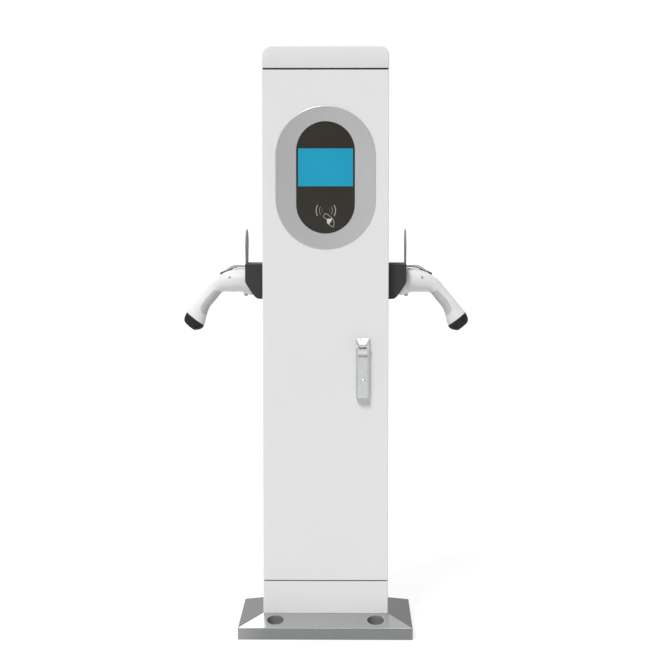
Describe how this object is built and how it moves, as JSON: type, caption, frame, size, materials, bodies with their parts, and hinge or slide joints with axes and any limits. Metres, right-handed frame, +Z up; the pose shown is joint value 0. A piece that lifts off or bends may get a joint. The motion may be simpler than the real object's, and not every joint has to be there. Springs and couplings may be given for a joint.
{
  "type": "ev charging post",
  "caption": "Free-standing charging post for electric cars: lockable service door, display, card reader, and a charging gun parked in a holder on each side.",
  "frame": {"origin": "on the ground under the middle of the base", "axes": "+Z up, the door and display face -Y, +X to the right seen from the door side"},
  "size_m": [0.7356, 0.32, 1.5],
  "materials": {
    "post_white": "powder coat, fine orange peel, semi-matt",
    "base_steel": "brushed stainless sheet",
    "zinc_steel": "zinc plated",
    "black_rubber": "matt rubber",
    "ring_silver": "satin silver lacquer",
    "panel_black": "gloss black",
    "screen_blue": "lit display, smooth cover",
    "handle_chrome": "satin chrome die casting",
    "holder_grey": "dark grey powder coat",
    "socket_black": "moulded, matt",
    "gun_white": "moulded, gloss white",
    "gun_grip": "soft moulded grip, finely textured",
    "gun_black": "moulded, fine texture",
    "latch_grey": "moulded, satin warm grey",
    "contact_brass": "plated contacts",
    "device_grey": "moulded, matt light grey",
    "device_dark": "moulded, matt black",
    "terminal_beige": "moulded, matt beige",
    "board_green": "solder-masked circuit board",
    "housing_grey": "moulded, matt mid grey"
  },
  "bodies": {
    "post": {"anchor_plate": "zinc_steel", "base_cover": "base_steel", "column_shell": "post_white", "skirt_panel": "post_white", "cap_gasket": "black_rubber", "top_cap": "post_white", "door_frame": "post_white", "hinge_frame_leaves": "zinc_steel", "hinge_pins": "zinc_steel", "rod_keepers": "zinc_steel", "mounting_plate": "zinc_steel", "din_rails": "zinc_steel", "main_breaker": "device_grey", "contactors": "device_dark", "energy_meters": "device_grey", "terminal_block": "terminal_beige", "control_board": "board_green", "holder_screws": "zinc_steel", "holder_left": "holder_grey", "holder_right": "holder_grey", "socket_left": "socket_black", "socket_right": "socket_black"},
    "breaker_toggle": {"breaker_toggle": "device_dark"},
    "door": {"door_skin": "post_white", "door_seal": "black_rubber", "hinge_door_leaves": "zinc_steel", "lock_case": "zinc_steel", "rod_guides": "zinc_steel", "escutcheon": "handle_chrome", "bezel_ring": "ring_silver", "panel_glass": "panel_black", "lcd_module": "screen_blue", "card_reader": "board_green", "display_housing": "housing_grey", "housing_screws": "zinc_steel"},
    "handle": {"handle_hub": "handle_chrome", "handle_spindle": "zinc_steel", "lever_pin": "zinc_steel"},
    "lever": {"handle_lever": "handle_chrome"},
    "key": {"key_plug": "handle_chrome"},
    "upper_rod": {"rod_upper": "zinc_steel"},
    "lower_rod": {"rod_lower": "zinc_steel"},
    "gun_left": {"gun_front_shell_left": "gun_white", "gun_rear_shell_left": "gun_white", "gun_nose_left": "gun_black", "gun_contacts_left": "contact_brass", "gun_latch_pin_left": "zinc_steel", "gun_grip_left": "gun_grip", "gun_end_cap_left": "gun_black", "gun_cap_screws_left": "device_dark"},
    "latch_left": {"gun_latch_left": "latch_grey"},
    "gun_right": {"gun_front_shell_right": "gun_white", "gun_rear_shell_right": "gun_white", "gun_nose_right": "gun_black", "gun_contacts_right": "contact_brass", "gun_latch_pin_right": "zinc_steel", "gun_grip_right": "gun_grip", "gun_end_cap_right": "gun_black", "gun_cap_screws_right": "device_dark"},
    "latch_right": {"gun_latch_right": "latch_grey"}
  },
  "joints": [
    {"name": "door_swing", "type": "hinge", "parent": "post", "child": "door", "pos_m": [-0.1517, -0.0848, 0.79], "axis": [0, 0, -1], "range_deg": [0, 95]},
    {"name": "handle_turn", "type": "hinge", "parent": "door", "child": "handle", "pos_m": [0.0944, -0.09, 0.752], "axis": [0, 1, 0], "range_deg": [0, 90]},
    {"name": "lever_lift", "type": "hinge", "parent": "handle", "child": "lever", "pos_m": [0.0944, -0.104, 0.742], "axis": [-1, 0, 0], "range_deg": [0, 35]},
    {"name": "key_turn", "type": "hinge", "parent": "lever", "child": "key", "pos_m": [0.0955, -0.103, 0.6543], "axis": [0, 1, 0], "range_deg": [0, 90]},
    {"name": "upper_rod_slide", "type": "slide", "parent": "door", "child": "upper_rod", "axis": [0, 0, 1], "range_m": [-0.019, 0]},
    {"name": "lower_rod_slide", "type": "slide", "parent": "door", "child": "lower_rod", "axis": [0, 0, 1], "range_m": [0, 0.019]},
    {"name": "breaker_flip", "type": "hinge", "parent": "post", "child": "breaker_toggle", "pos_m": [-0.082, -0.0015, 1.18], "axis": [1, 0, 0], "range_deg": [0, 36]},
    {"name": "gun_left_pull", "type": "slide", "parent": "post", "child": "gun_left", "axis": [-1, 0, 0], "range_m": [0, 0.16]},
    {"name": "latch_left_tip", "type": "hinge", "parent": "gun_left", "child": "latch_left", "pos_m": [-0.2475, 0, 0.9134], "axis": [0, -1, 0], "range_deg": [0, 4], "stiffness_Nm_per_rad": 0.4, "springref_deg": -2.86},
    {"name": "gun_right_pull", "type": "slide", "parent": "post", "child": "gun_right", "axis": [1, 0, 0], "range_m": [0, 0.16]},
    {"name": "latch_right_tip", "type": "hinge", "parent": "gun_right", "child": "latch_right", "pos_m": [0.2475, 0, 0.9134], "axis": [0, 1, 0], "range_deg": [0, 4], "stiffness_Nm_per_rad": 0.4, "springref_deg": -2.86}
  ],
  "couplings": [
    {"joint": "upper_rod_slide", "follows": "handle_turn", "m_per_rad": -0.012},
    {"joint": "lower_rod_slide", "follows": "handle_turn", "m_per_rad": 0.012}
  ]
}
